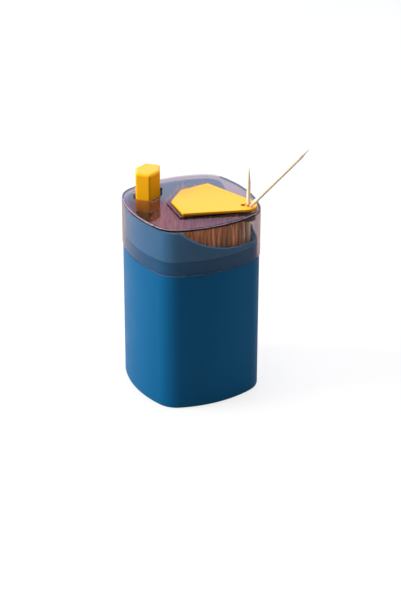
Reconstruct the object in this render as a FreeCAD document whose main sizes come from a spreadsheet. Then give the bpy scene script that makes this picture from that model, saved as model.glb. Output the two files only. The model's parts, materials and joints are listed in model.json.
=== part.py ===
import FreeCAD, Part
import math
import os
import re
import Sketcher

# Push-button toothpick dispenser, in millimetres.
# The origin is the centre of the base on the table, +Z is up, +X points to the outlet corner
# and the button stands near the opposite corner. The plan is a rounded square whose corners
# lie on the X and Y axes and whose sides bow gently outwards.

Vector = FreeCAD.Vector

SIZES = {
    # plan of the housing
    "half_width": 34.0,
    "corner_centre": 24.4,
    "corner_round": 13.7,
    # housing shell
    "neck_height": 7.7,
    "neck_step": 1.1,
    "body_wall": 2.4,
    "base_round": 1.5,
    "boss_radius": 4.4,
    "boss_top": 14.0,
    "boss_reach": 27.5,
    "pilot_radius": 1.2,
    "pilot_depth": 10.5,
    # clearances
    "gap": 0.3,
    "fit_gap": 0.05,
    # base cover
    "cover_thick": 2.6,
    "cheek_thick": 2.0,
    "cheek_round": 4.5,
    "cheek_foot": 7.0,
    "spigot_radius": 2.3,
    "spigot_rise": 2.4,
    # screws of the base cover
    "screw_radius": 1.15,
    "screw_length": 8.5,
    "screw_tip": 1.0,
    "head_radius": 2.8,
    "head_height": 1.2,
    # hopper insert
    "hopper_wall": 1.3,
    "hopper_skirt": 4.7,
    "collar_rise": 16.8,
    "collar_inset": 1.4,
    "floor_play": 1.73,
    "floor_slope": 4.0,
    "floor_thick": 1.6,
    "sleeve_wall": 0.9,
    "sleeve_step": 0.5,
    "divider_reach": 17.5,
    "divider_thick": 1.2,
    "divider_sink": 1.2,
    "tube_wall": 1.5,
    "tube_skirt": 3.0,
    "tube_play": 3.6,
    "swoop_radius": 50.0,
    "swoop_depth": 12.1,
    # push rod and its spring
    "rod_reach": 25.4,
    "rod_radius": 2.5,
    "rod_sink": 9.6,
    "rod_chamfer": 0.5,
    "seat_radius": 4.0,
    "seat_thick": 1.5,
    "seat_drop": 4.7,
    "nose_radius": 1.9,
    "nose_length": 2.0,
    "groove_radius": 1.9,
    "clip_thick": 0.9,
    "clip_radius": 4.2,
    "clip_mouth": 1.5,
    "travel": 9.0,
    "coil_radius": 3.0,
    "coil_wire": 0.3,
    "coil_turns": 6.0,
    "coil_flat_turns": 0.5,
    # rocker lever
    "pivot_reach": 9.0,
    "pivot_height": 18.5,
    "pivot_radius": 1.5,
    "hub_radius": 4.5,
    "hub_half": 4.4,
    "fork_inner": 2.9,
    "fork_end": 2.5,
    "fork_relief": 5.6,
    "blade_half": 1.5,
    "blade_end": 2.8,
    "web_half": 0.7,
    "web_rim": 1.2,
    "washer_thick": 0.6,
    "washer_radius": 3.2,
    "washer_play": 0.1,
    "link_radius": 1.0,
    # lifting plunger at the outlet corner
    "outlet_inset": 3.8,
    "plunger_radius": 3.3,
    "plunger_foot": 2.9,
    "plunger_chamfer": 0.4,
    # push button
    "button_reach": 25.1,
    "button_shift": 2.2,
    "button_half_x": 7.05,
    "button_flat": 4.05,
    "button_half_y": 8.2,
    "button_height": 23.0,
    "button_rise": 14.2,
    "button_wall": 1.5,
    "button_crown": 2.0,
    "button_round": 0.5,
    "socket_wall": 1.6,
    # clear lid
    "lid_play": 1.2,
    "lid_roof": 2.0,
    "lid_overhang": 0.4,
    "lid_round": 0.9,
    "lid_bevel": 0.4,
    "plinth_rise": 0.7,
    "plinth_margin": 2.4,
    "plinth_tip_step": 0.4,
    "opening_margin": 1.2,
    # yellow outlet plate
    "plate_back": 8.3,
    "plate_back_half": 7.7,
    "plate_wide_x": 2.7,
    "plate_half": 21.2,
    "plate_tip_back": 1.6,
    "plate_tip_radius": 7.0,
    "plate_thick": 1.2,
    "plate_round": 0.25,
    "hole_radius": 1.5,
    "hole_circle": 2.0,
    "hole_step": 1.2,
    "hole_turn": 205.0,
    "hole_count": 3.0,
    "peg_radius": 1.2,
    "peg_y": 12.0,
    # guide below the outlet plate
    "guide_radius": 4.6,
    "guide_drop": 6.5,
    "guide_throat": 3.6,
    "guide_mouth": 4.1,
    # toothpicks
    "pick_length": 65.0,
    "pick_radius": 1.0,
    "pick_tip": 0.15,
    "pick_taper": 9.0,
    "pick_rise": 20.7,
    "pick_play": 0.07,
    "bundle_front": 19.0,
    "bundle_half": 20.0,
    "stock_gap": 1.4,
    "lean_tilt": 42.3,
    "lean_turn": -28.5,
    "lean_depth": 4.0,
}

# One overrun lets every through cut pass both faces of what it cuts.
OVERRUN = 1.0

# Sizes that follow from the driving ones. Angles come out in degrees.
DERIVED = {
    "corner_diagonal": "corner_centre / sqrt(2)",
    "corner_inner": "half_width - corner_round",
    "side_centre": "(2 * corner_diagonal^2 - corner_inner^2) / (2 * (corner_inner - corner_diagonal))",
    "side_radius": "side_centre + half_width",
    "side_offset": "side_centre / sqrt(2)",
    "outlet_reach": "half_width - outlet_inset",
    "hole_centre_x": "outlet_reach + hole_step",
    "plate_tip_x": "hole_centre_x - plate_tip_back",
    "arm_left": "rod_reach - pivot_reach",
    "arm_right": "outlet_reach + pivot_reach",
    "lever_tilt": "atan(travel / 2 / arm_left)",
    "lift": "travel * arm_right / arm_left",
    "lift_pin_height": "pivot_height - lift / 2",
    "blade_rise": "blade_end / cos(lever_tilt) + plunger_radius * tan(lever_tilt)",
    "clevis_top": "lift_pin_height + blade_rise + 2 * gap",
    "floor_height": "clevis_top + lift + floor_play + floor_thick",
    "divider_floor": "floor_height + (outlet_reach + divider_reach) * tan(floor_slope)",
    "roof_under": "divider_floor + pick_length + pick_play",
    "collar_top": "roof_under - lid_play",
    "body_height": "collar_top - collar_rise",
    "neck_start": "body_height - neck_height",
    "cover_inset": "body_wall + gap",
    "hopper_inset": "body_wall + gap",
    "hopper_inner": "hopper_inset + hopper_wall",
    "wall_middle": "hopper_inset + hopper_wall / 2",
    "collar_inner": "collar_inset + hopper_wall",
    "swoop_low": "collar_top - swoop_depth",
    "divider_top": "body_height - divider_sink",
    "skirt_inset": "neck_step - gap",
    "lid_bottom": "neck_start + gap",
    "lid_top": "roof_under + lid_roof",
    "plinth_top": "lid_top + plinth_rise",
    "plate_top": "plinth_top + plate_thick",
    "button_top": "lid_top + button_rise",
    "button_bottom": "button_top - button_height",
    "rod_top": "button_top - rod_sink",
    "tube_top": "button_bottom - travel - tube_play",
    "socket_radius": "rod_radius + fit_gap",
    "tube_bore": "rod_radius + gap",
    "tube_radius": "tube_bore + tube_wall",
    "rod_pin_height": "pivot_height + travel / 2",
    "seat_top": "rod_pin_height - seat_drop",
    "seat_bottom": "seat_top - seat_thick",
    "cheek_inner": "hub_half + washer_thick + 2 * washer_play",
    "slot_near_left": "arm_left",
    "slot_far_left": "arm_left / cos(lever_tilt)",
    "slot_near_right": "arm_right",
    "slot_far_right": "arm_right / cos(lever_tilt)",
    "slot_half": "link_radius + gap",
    "plunger_bore": "plunger_radius + gap",
    "sleeve_radius": "plunger_bore + sleeve_wall",
    "plunger_bottom": "lift_pin_height - plunger_foot",
    "hopper_bottom": "floor_height - hopper_skirt",
    "tube_bottom": "floor_height - tube_skirt",
    "clip_top": "tube_bottom - gap",
    "divider_half": "sqrt((side_radius - wall_middle)^2 - (divider_reach + side_offset)^2) - side_offset",
    "plate_slant": "atan((plate_half - plate_back_half) / (plate_wide_x + plate_back))",
    "plate_span": "plate_tip_x - plate_wide_x",
    "plate_corner": "sqrt(plate_span^2 + plate_half^2)",
    "plate_taper": "atan(plate_half / plate_span) - asin(plate_tip_radius / plate_corner)",
    "mitre_back": "cos(plate_slant) / (1 + sin(plate_slant))",
    "mitre_share": "1 + cos(plate_slant + plate_taper)",
    "mitre_wide_x": "(sin(plate_taper) - sin(plate_slant)) / mitre_share",
    "mitre_wide_y": "(cos(plate_taper) + cos(plate_slant)) / mitre_share",
    "button_slant": "atan((button_half_x - button_flat) / button_half_y)",
}

# The overrun and zero in the forms that the helpers take
over = str(OVERRUN)
ZERO = (0.0, "0")

doc = FreeCAD.newDocument("toothpick_dispenser")


def fill_sheet(name, entries):
    """Writes one row per size: its name in column A, its value in column B with the name as alias."""
    sheet = doc.addObject("Spreadsheet::Sheet", name)
    for row, (alias, content) in enumerate(entries, start=1):
        sheet.set("A%d" % row, alias)
        sheet.set("B%d" % row, content)
        sheet.setAlias("B%d" % row, alias)
    return sheet


def bound(expression):
    """Turns bare size names in an expression into references to the two sheets."""
    def reference(match):
        word = match.group(0)
        if word in SIZES:
            return "Sizes." + word
        if word in DERIVED:
            return "Derived." + word
        return word
    return re.sub(r"[a-z][a-z_]+", reference, str(expression))


sizes = fill_sheet("Sizes", [(name, repr(number)) for name, number in SIZES.items()])
doc.recompute()
derived = fill_sheet("Derived", [(name, "=" + bound(text)) for name, text in DERIVED.items()])
doc.recompute()


def size(name):
    """The present value of a named size, as a plain number."""
    value = getattr(sizes if name in SIZES else derived, name)
    return float(getattr(value, "Value", value))


def bind(item, prop, expression):
    item.setExpression(prop, bound(expression))


# Sketch helpers

def new_body(label):
    body = doc.addObject("PartDesign::Body", label)
    body.Label = label
    return body


def plane_of(body, role):
    return next(feature for feature in body.Origin.OriginFeatures if feature.Role == role)


def new_sketch(body, name, plane="XY_Plane", offset="0"):
    """A sketch on one of the body's own origin planes, moved along the plane's normal."""
    sketch = body.newObject("Sketcher::SketchObject", body.Label + "_" + name)
    sketch.AttachmentSupport = [(plane_of(body, plane), "")]
    sketch.MapMode = "FlatFace"
    bind(sketch, "AttachmentOffset.Base.z", offset)
    return sketch


def constrain(sketch, kind, *arguments, to=None):
    """Adds one constraint; a dimension is bound to the expression given in to."""
    if to is None:
        return sketch.addConstraint(Sketcher.Constraint(kind, *arguments))
    index = sketch.addConstraint(Sketcher.Constraint(kind, *arguments[:-1], float(arguments[-1])))
    bind(sketch, "Constraints[%d]" % index, to)
    return index


def place(sketch, geometry, position, x, y):
    """Holds a point at (x, y). Each place is a pair (number, expression); zero lies on the axis."""
    for (number, expression), axis, kind in ((x, -2, "DistanceX"), (y, -1, "DistanceY")):
        if expression == "0":
            constrain(sketch, "PointOnObject", geometry, position, axis)
        elif number < 0:
            constrain(sketch, kind, geometry, position, -1, 1, -number, to="-(%s)" % expression)
        else:
            constrain(sketch, kind, -1, 1, geometry, position, number, to=expression)


def circle(sketch, radius, x, y=(0, "0")):
    """A circle; radius, x and y are pairs (number, expression)."""
    middle = Vector(x[0], y[0], 0)
    index = sketch.addGeometry(Part.Circle(middle, Vector(0, 0, 1), radius[0]))
    constrain(sketch, "Radius", index, radius[0], to=radius[1])
    place(sketch, index, 3, x, y)
    return index


def polygon(sketch, corners):
    """A closed loop of straight lines through corners, each a pair of (number, expression) pairs."""
    points = [Vector(x[0], y[0], 0) for x, y in corners]
    count = len(points)
    lines = [sketch.addGeometry(Part.LineSegment(points[i], points[(i + 1) % count])) for i in range(count)]
    for i, line in enumerate(lines):
        constrain(sketch, "Coincident", line, 2, lines[(i + 1) % count], 1)
        place(sketch, line, 1, *corners[i])
    return lines


def number(expression):
    """A pair (value, expression) for one named size, its opposite, or zero."""
    text = str(expression)
    if text == "0":
        return (0.0, "0")
    if text.startswith("-"):
        return (-size(text[1:]), text)
    return (size(text), text)


def rounded_square(sketch, inset):
    """The plan outline: four corner arcs on the axes and four bowed sides, tangent all round."""
    shift, text = inset
    centre = size("corner_centre")
    corner = size("corner_round") - shift
    side = size("side_radius") - shift
    away = size("side_centre")
    corners = [Vector(centre * math.cos(a), centre * math.sin(a), 0)
               for a in (0, math.pi / 2, math.pi, -math.pi / 2)]
    sides = [Vector(-away * math.cos(a), -away * math.sin(a), 0)
             for a in (math.pi / 4, 3 * math.pi / 4, -3 * math.pi / 4, -math.pi / 4)]
    normal = Vector(0, 0, 1)

    def heading(origin, target):
        return math.atan2(target.y - origin.y, target.x - origin.x)

    for i in range(4):
        before = heading(sides[i - 1], corners[i])
        after = heading(sides[i], corners[i])
        following = heading(sides[i], corners[(i + 1) % 4])
        sketch.addGeometry(Part.ArcOfCircle(Part.Circle(corners[i], normal, corner), before, after))
        sketch.addGeometry(Part.ArcOfCircle(Part.Circle(sides[i], normal, side), after, following))
    for i in range(8):
        constrain(sketch, "Tangent", i, 2, (i + 1) % 8, 1)
    reach = (centre, "corner_centre")
    back = (-centre, "-corner_centre")
    for geometry, x, y in ((0, reach, ZERO), (2, ZERO, reach), (4, back, ZERO), (6, ZERO, back)):
        place(sketch, geometry, 3, x, y)
    constrain(sketch, "Radius", 0, corner, to="corner_round - (%s)" % text)
    constrain(sketch, "Radius", 1, side, to="side_radius - (%s)" % text)
    for i in (2, 4, 6):
        constrain(sketch, "Equal", 0, i)
        constrain(sketch, "Equal", 1, i + 1)


def capsule(sketch, start, start_radius, end, end_radius):
    """Two round ends joined by tangent lines; the ends lie on the local X or Y axis."""
    a = Vector(start[0][0], start[1][0], 0)
    b = Vector(end[0][0], end[1][0], 0)
    along = (b - a).normalize()
    across = Vector(-along.y, along.x, 0)
    lean = math.asin((start_radius[0] - end_radius[0]) / (b - a).Length)
    left = along * math.sin(lean) + across * math.cos(lean)
    right = along * math.sin(lean) - across * math.cos(lean)
    normal = Vector(0, 0, 1)
    turn_left = math.atan2(left.y, left.x)
    turn_right = math.atan2(right.y, right.x)
    r0 = start_radius[0]
    r1 = end_radius[0]
    sketch.addGeometry(Part.ArcOfCircle(Part.Circle(a, normal, r0), turn_left, turn_right))
    sketch.addGeometry(Part.LineSegment(a + right * r0, b + right * r1))
    sketch.addGeometry(Part.ArcOfCircle(Part.Circle(b, normal, r1), turn_right, turn_left))
    sketch.addGeometry(Part.LineSegment(b + left * r1, a + left * r0))
    for i in range(4):
        constrain(sketch, "Tangent", i, 2, (i + 1) % 4, 1)
    place(sketch, 0, 3, *start)
    place(sketch, 2, 3, *end)
    constrain(sketch, "Radius", 0, r0, to=start_radius[1])
    constrain(sketch, "Radius", 2, r1, to=end_radius[1])


def hexagon(sketch, margin):
    """The button's long hexagon, offset outwards by margin, a pair (number, expression)."""
    m, text = margin
    slant = math.radians(size("button_slant"))
    tip_share = 1 / math.cos(slant)
    side_share = math.cos(slant) / (1 + math.sin(slant))
    xs = {
        "tip": (size("button_half_x") + m * tip_share, "button_half_x + (%s) / cos(button_slant)" % text),
        "flat": (size("button_flat") + m * side_share,
                 "button_flat + (%s) * cos(button_slant) / (1 + sin(button_slant))" % text),
    }
    half = (size("button_half_y") + m, "button_half_y + (%s)" % text)
    reach = size("button_reach")
    shift = size("button_shift")

    def at(kind, side_x, side_y):
        x = (side_x * xs[kind][0] - reach, "%d * (%s) - button_reach" % (side_x, xs[kind][1]))
        if side_y == 0:
            return x, (shift, "button_shift")
        return x, (shift + side_y * half[0], "button_shift + %d * (%s)" % (side_y, half[1]))

    polygon(sketch, [at("tip", 1, 0), at("flat", 1, 1), at("flat", -1, 1),
                     at("tip", -1, 0), at("flat", -1, -1), at("flat", 1, -1)])


def kite(sketch, margin, tip_radius):
    """The outlet plate's outline: a blunt back, two wide shoulders and a round tip."""
    m, text = margin
    back_x = (-size("plate_back") - m, "-plate_back - (%s)" % text)
    back_y = (size("plate_back_half") + m * size("mitre_back"),
              "plate_back_half + (%s) * mitre_back" % text)
    wide_x = (size("plate_wide_x") + m * size("mitre_wide_x"), "plate_wide_x + (%s) * mitre_wide_x" % text)
    wide_y = (size("plate_half") + m * size("mitre_wide_y"), "plate_half + (%s) * mitre_wide_y" % text)
    tip = Vector(size("plate_tip_x"), 0, 0)
    span = tip.x - wide_x[0]
    taper = math.atan2(wide_y[0], span) - math.asin(tip_radius[0] / math.hypot(span, wide_y[0]))
    touch = Vector(math.sin(taper), math.cos(taper), 0) * tip_radius[0]
    upper = tip + touch
    lower = tip + Vector(touch.x, -touch.y, 0)
    corners = [Vector(wide_x[0], wide_y[0], 0), Vector(back_x[0], back_y[0], 0),
               Vector(back_x[0], -back_y[0], 0), Vector(wide_x[0], -wide_y[0], 0)]
    sketch.addGeometry(Part.ArcOfCircle(Part.Circle(tip, Vector(0, 0, 1), tip_radius[0]),
                                        taper - math.pi / 2, math.pi / 2 - taper))
    path = [upper] + corners + [lower]
    for start, end in zip(path[:-1], path[1:]):
        sketch.addGeometry(Part.LineSegment(start, end))
    constrain(sketch, "Tangent", 0, 2, 1, 1)
    for i in range(1, 5):
        constrain(sketch, "Coincident", i, 2, i + 1, 1)
    constrain(sketch, "Tangent", 5, 2, 0, 1)
    constrain(sketch, "Radius", 0, tip_radius[0], to=tip_radius[1])
    place(sketch, 0, 3, number("plate_tip_x"), ZERO)
    minus_back = (-back_y[0], "-(%s)" % back_y[1])
    minus_wide = (-wide_y[0], "-(%s)" % wide_y[1])
    ends = ((1, wide_x, wide_y), (2, back_x, back_y), (3, back_x, minus_back), (4, wide_x, minus_wide))
    for line, x, y in ends:
        place(sketch, line, 2, x, y)


# Feature helpers

def pad(body, sketch, length, both_ways=False, backwards=False):
    feature = body.newObject("PartDesign::Pad", sketch.Name + "_pad")
    feature.Profile = sketch
    bind(feature, "Length", length)
    feature.SideType = "Symmetric" if both_ways else "One side"
    feature.Reversed = backwards
    sketch.Visibility = False
    doc.recompute()
    return feature


def pocket(body, sketch, depth, upwards=True, both_ways=False):
    """Cuts a sketch away, along its normal unless told otherwise, and checks that it cut."""
    before = body.Shape.Volume
    feature = body.newObject("PartDesign::Pocket", sketch.Name + "_cut")
    feature.Profile = sketch
    bind(feature, "Length", depth)
    feature.SideType = "Symmetric" if both_ways else "One side"
    feature.Reversed = upwards
    doc.recompute()
    if not body.Shape.Volume < before:
        raise RuntimeError("nothing was cut by " + feature.Name)
    return feature


def around(body, features, count):
    """Repeats features round the body's Z axis."""
    pattern = body.newObject("PartDesign::PolarPattern", features[0].Name + "_ring")
    pattern.Originals = features
    pattern.Axis = (plane_of(body, "Z_Axis"), [""])
    pattern.Angle = 360
    pattern.Occurrences = count
    body.Tip = pattern
    doc.recompute()
    return pattern


def mirrored(body, features, role="XZ_Plane"):
    mirror = body.newObject("PartDesign::Mirrored", features[0].Name + "_twin")
    mirror.Originals = features
    mirror.MirrorPlane = (plane_of(body, role), [""])
    body.Tip = mirror
    doc.recompute()
    return mirror


def dress(body, kind, prop, expression, chosen):
    """A fillet or chamfer on the edges of the last feature that chosen accepts."""
    base = body.Tip
    names = ["Edge%d" % i for i, edge in enumerate(base.Shape.Edges, start=1) if chosen(edge)]
    feature = body.newObject("PartDesign::" + kind, base.Name + "_" + kind.lower())
    feature.Base = (base, names)
    bind(feature, prop, expression)
    doc.recompute()
    return feature


def level(height):
    """Accepts the edges that lie flat at this height."""
    return lambda edge: max(abs(edge.BoundBox.ZMin - height), abs(edge.BoundBox.ZMax - height)) < 1e-4


def turned(body, profile, name="profile"):
    """A solid of revolution about Z from (radius, height) corners drawn in the XZ plane."""
    sketch = new_sketch(body, name, "XZ_Plane")
    polygon(sketch, profile)
    feature = body.newObject("PartDesign::Revolution", body.Label + "_turned")
    feature.Profile = sketch
    feature.ReferenceAxis = (sketch, ["V_Axis"])
    feature.Angle = 360
    doc.recompute()
    return feature


def total(*names):
    """A pair (number, expression) for the sum of named sizes; a leading minus subtracts one."""
    text = "0"
    amount = 0.0
    for name in names:
        sign = -1 if name.startswith("-") else 1
        plain = name.lstrip("-")
        amount += sign * size(plain)
        text += (" - " if sign < 0 else " + ") + plain
    return (amount, text)


def build_body_shell():
    """The blue outer shell: plain below, a stepped neck for the lid, open at both ends."""
    body = new_body("body_shell")
    outline = new_sketch(body, "outline")
    rounded_square(outline, ZERO)
    pad(body, outline, "neck_start")
    dress(body, "Fillet", "Radius", "base_round", level(0))
    neck = new_sketch(body, "neck", offset="neck_start")
    rounded_square(neck, number("neck_step"))
    pad(body, neck, "body_height - neck_start")
    cavity = new_sketch(body, "cavity", offset="-" + over)
    rounded_square(cavity, number("body_wall"))
    pocket(body, cavity, "body_height + 2 * " + over)
    reach = size("boss_reach") / math.sqrt(2)
    spot = (reach, "boss_reach / sqrt(2)")
    boss = new_sketch(body, "boss", offset="cover_thick")
    circle(boss, number("boss_radius"), spot, spot)
    boss_pad = pad(body, boss, "boss_top - cover_thick")
    pilot = new_sketch(body, "pilot", offset="cover_thick")
    circle(pilot, number("pilot_radius"), spot, spot)
    pilot_cut = pocket(body, pilot, "pilot_depth")
    around(body, [boss_pad, pilot_cut], 4)
    return body


def build_base_cover():
    """The flat base: it closes the shell from below and carries the lever's cheeks and a spring spigot."""
    body = new_body("base_cover")
    outline = new_sketch(body, "outline")
    rounded_square(outline, number("cover_inset"))
    pad(body, outline, "cover_thick")
    cheek = new_sketch(body, "cheek", "XZ_Plane", "cheek_inner")
    top = size("pivot_height")
    low = size("cover_thick") / 2
    pivot = size("pivot_reach")
    foot = size("cheek_foot")
    round_end = size("cheek_round")
    normal = Vector(0, 0, 1)
    centre = Vector(-pivot, top, 0)
    lean = math.atan2(foot - round_end, top - low)
    side = Vector(math.cos(lean), math.sin(lean), 0) * round_end
    left = centre + Vector(-side.x, side.y, 0)
    cheek.addGeometry(Part.ArcOfCircle(Part.Circle(centre, normal, round_end), lean, math.pi - lean))
    cheek.addGeometry(Part.LineSegment(left, Vector(-pivot - foot, low, 0)))
    cheek.addGeometry(Part.LineSegment(Vector(-pivot - foot, low, 0), Vector(-pivot + foot, low, 0)))
    cheek.addGeometry(Part.LineSegment(Vector(-pivot + foot, low, 0), centre + side))
    constrain(cheek, "Tangent", 0, 2, 1, 1)
    constrain(cheek, "Coincident", 1, 2, 2, 1)
    constrain(cheek, "Coincident", 2, 2, 3, 1)
    constrain(cheek, "Tangent", 3, 2, 0, 1)
    constrain(cheek, "Radius", 0, round_end, to="cheek_round")
    place(cheek, 0, 3, number("-pivot_reach"), number("pivot_height"))
    place(cheek, 1, 2, total("-pivot_reach", "-cheek_foot"), (low, "cover_thick / 2"))
    place(cheek, 2, 2, (foot - pivot, "cheek_foot - pivot_reach"), (low, "cover_thick / 2"))
    cheek_pad = pad(body, cheek, "cheek_thick")
    mirrored(body, [cheek_pad])
    bore = new_sketch(body, "bore", "XZ_Plane")
    circle(bore, total("pivot_radius", "fit_gap"), number("-pivot_reach"), number("pivot_height"))
    pocket(body, bore, "2 * (cheek_inner + cheek_thick + %s)" % over, both_ways=True)
    spigot = new_sketch(body, "spigot", offset="cover_thick / 2")
    circle(spigot, number("spigot_radius"), number("-rod_reach"))
    pad(body, spigot, "cover_thick / 2 + spigot_rise")
    reach = size("boss_reach") / math.sqrt(2)
    spot = (reach, "boss_reach / sqrt(2)")
    hole = new_sketch(body, "hole", offset="-" + over)
    circle(hole, total("screw_radius", "gap"), spot, spot)
    hole_cut = pocket(body, hole, "cover_thick + 2 * " + over)
    sink = new_sketch(body, "sink", offset="-" + over)
    circle(sink, total("head_radius", "gap"), spot, spot)
    sink_cut = pocket(body, sink, "head_height + gap / 2 + " + over)
    around(body, [hole_cut, sink_cut], 4)
    return body


def build_base_screws():
    """Four self-tapping screws, heads down in the base cover's counterbores."""
    body = new_body("base_screws")
    sketch = new_sketch(body, "profile", "XZ_Plane")
    head = total("head_height", "gap")
    polygon(sketch, [
        (ZERO, (size("gap") / 2, "gap / 2")),
        (number("head_radius"), (size("gap") / 2, "gap / 2")),
        (number("head_radius"), (head[0] - size("gap") / 2, "head_height + gap / 2")),
        (number("screw_radius"), (head[0] - size("gap") / 2, "head_height + gap / 2")),
        (number("screw_radius"), total("screw_length", "-screw_tip", "head_height")),
        (ZERO, total("screw_length", "head_height")),
    ])
    turn = body.newObject("PartDesign::Revolution", "base_screws_turned")
    turn.Profile = sketch
    turn.ReferenceAxis = (sketch, ["V_Axis"])
    turn.Angle = 360
    reach = "boss_reach / sqrt(2)"
    bind(sketch, "AttachmentOffset.Base.x", reach)
    bind(sketch, "AttachmentOffset.Base.z", "-" + reach)
    doc.recompute()
    around(body, [turn], 4)
    return body


def build_hopper():
    """The blue insert that holds the picks, hung by its collar on the shell's rim."""
    body = new_body("hopper")
    wall = new_sketch(body, "wall", offset="hopper_bottom")
    rounded_square(wall, number("hopper_inset"))
    pad(body, wall, "body_height - hopper_bottom")
    collar = new_sketch(body, "collar", offset="body_height")
    rounded_square(collar, number("collar_inset"))
    pad(body, collar, "collar_rise")
    cavity = new_sketch(body, "cavity", offset="hopper_bottom - " + over)
    rounded_square(cavity, number("hopper_inner"))
    pocket(body, cavity, "collar_top - hopper_bottom + 2 * " + over)
    # above the shell's rim the wall steps outwards and its shoulder rests on the rim
    mouth = new_sketch(body, "mouth", offset="body_height + hopper_wall")
    rounded_square(mouth, number("collar_inner"))
    pocket(body, mouth, "collar_rise - hopper_wall + " + over)
    # the sloping floor runs down to the outlet corner; its rim ends inside the wall
    floor = new_sketch(body, "floor")
    slope = FreeCAD.Rotation(Vector(0, 1, 0), size("floor_slope"))
    floor.AttachmentOffset = FreeCAD.Placement(Vector(), slope)
    rounded_square(floor, number("wall_middle"))
    bind(floor, "AttachmentOffset.Rotation.Angle", "floor_slope")
    bind(floor, "AttachmentOffset.Base.z", "floor_height + outlet_reach * tan(floor_slope)")
    pad(body, floor, "floor_thick", backwards=True)
    divider = new_sketch(body, "divider", offset="divider_floor - floor_thick / 2")
    half = (size("divider_half"), "divider_half")
    minus_half = (-half[0], "-divider_half")
    near = (-size("divider_reach") + size("divider_thick") / 2, "divider_thick / 2 - divider_reach")
    far = (-size("divider_reach") - size("divider_thick") / 2, "-divider_thick / 2 - divider_reach")
    polygon(divider, [(far, minus_half), (near, minus_half), (near, half), (far, half)])
    pad(body, divider, "divider_top - divider_floor + floor_thick / 2")
    tube = new_sketch(body, "tube", offset="tube_bottom")
    circle(tube, number("tube_radius"), number("-rod_reach"))
    pad(body, tube, "tube_top - tube_bottom")
    rib = new_sketch(body, "rib", offset="divider_floor - floor_thick / 2")
    thick = (size("divider_thick") / 2, "divider_thick / 2")
    minus_thick = (-thick[0], "-divider_thick / 2")
    inner = (size("tube_bore") + size("tube_wall") / 2 - size("rod_reach"),
             "tube_bore + tube_wall / 2 - rod_reach")
    edge = (-size("divider_reach"), "-divider_reach")
    polygon(rib, [(inner, minus_thick), (edge, minus_thick), (edge, thick), (inner, thick)])
    pad(body, rib, "tube_top - tube_wall - divider_floor")
    bore = new_sketch(body, "tube_bore", offset="tube_bottom - " + over)
    circle(bore, number("tube_bore"), number("-rod_reach"))
    pocket(body, bore, "tube_top - tube_bottom + 2 * " + over)
    sleeve = new_sketch(body, "sleeve", offset="hopper_bottom")
    circle(sleeve, number("sleeve_radius"), number("outlet_reach"))
    pad(body, sleeve, "floor_height - sleeve_step - hopper_bottom")
    well = new_sketch(body, "well", offset="hopper_bottom - " + over)
    circle(well, number("plunger_bore"), number("outlet_reach"))
    pocket(body, well, "floor_height - hopper_bottom + 2 * " + over)
    # the collar dips in one long curve towards the outlet
    swoop = new_sketch(body, "swoop", "XZ_Plane")
    high = size("swoop_low") + size("swoop_radius")
    circle(swoop, number("swoop_radius"), number("half_width"), (high, "swoop_low + swoop_radius"))
    pocket(body, swoop, "4 * half_width", both_ways=True)
    return body


def build_push_rod():
    """The steel rod below the button: a nose and seat for the spring, a clip groove and a cross hole."""
    body = new_body("push_rod")
    groove_top = (size("clip_top") + size("fit_gap"), "clip_top + fit_gap")
    groove_low = (size("clip_top") - size("clip_thick") - size("fit_gap"),
                  "clip_top - clip_thick - fit_gap")
    rod = number("rod_radius")
    turned(body, [
        (ZERO, total("seat_bottom", "-nose_length")),
        (number("nose_radius"), total("seat_bottom", "-nose_length")),
        (number("nose_radius"), number("seat_bottom")),
        (number("seat_radius"), number("seat_bottom")),
        (number("seat_radius"), number("seat_top")),
        (rod, number("seat_top")),
        (rod, groove_low),
        (number("groove_radius"), groove_low),
        (number("groove_radius"), groove_top),
        (rod, groove_top),
        (rod, total("rod_top", "-rod_chamfer")),
        (total("rod_radius", "-rod_chamfer"), number("rod_top")),
        (ZERO, number("rod_top")),
    ])
    hole = new_sketch(body, "cross_hole", "XZ_Plane")
    circle(hole, total("link_radius", "fit_gap"), ZERO, number("rod_pin_height"))
    pocket(body, hole, "2 * rod_radius + 2 * " + over, both_ways=True)
    bind(body, "Placement.Base.x", "-rod_reach")
    return body


def build_rod_stop_clip():
    """An open ring in the rod's groove; it stops the rod under the hopper's guide tube."""
    body = new_body("rod_stop_clip")
    ring = new_sketch(body, "ring", offset="clip_top - clip_thick")
    circle(ring, number("clip_radius"), ZERO)
    circle(ring, total("groove_radius", "fit_gap"), ZERO)
    pad(body, ring, "clip_thick")
    mouth = new_sketch(body, "mouth", offset="clip_top - clip_thick - " + over)
    half = number("clip_mouth")
    minus = number("-clip_mouth")
    reach = (-size("clip_radius") - OVERRUN, "-clip_radius - " + over)
    polygon(mouth, [(reach, minus), (ZERO, minus), (ZERO, half), (reach, half)])
    pocket(body, mouth, "clip_thick + 2 * " + over)
    bind(body, "Placement.Base.x", "-rod_reach")
    return body


def pin(label, radius, half_length, x, z):
    """A round pin along Y, centred at (x, 0, z)."""
    body = new_body(label)
    sketch = new_sketch(body, "section", "XZ_Plane")
    circle(sketch, number(radius), number(x), number(z))
    pad(body, sketch, "2 * (%s)" % half_length, both_ways=True)
    return body


def build_pins():
    """The rod's link pin, the plunger's link pin and the lever's pivot pin."""
    return [
        pin("rod_link_pin", "link_radius", "hub_half + fit_gap", "-rod_reach", "rod_pin_height"),
        pin("lifter_link_pin", "link_radius", "plunger_radius - gap", "outlet_reach", "lift_pin_height"),
        pin("pivot_pin", "pivot_radius", "cheek_inner + cheek_thick", "-pivot_reach", "pivot_height"),
    ]


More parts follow.
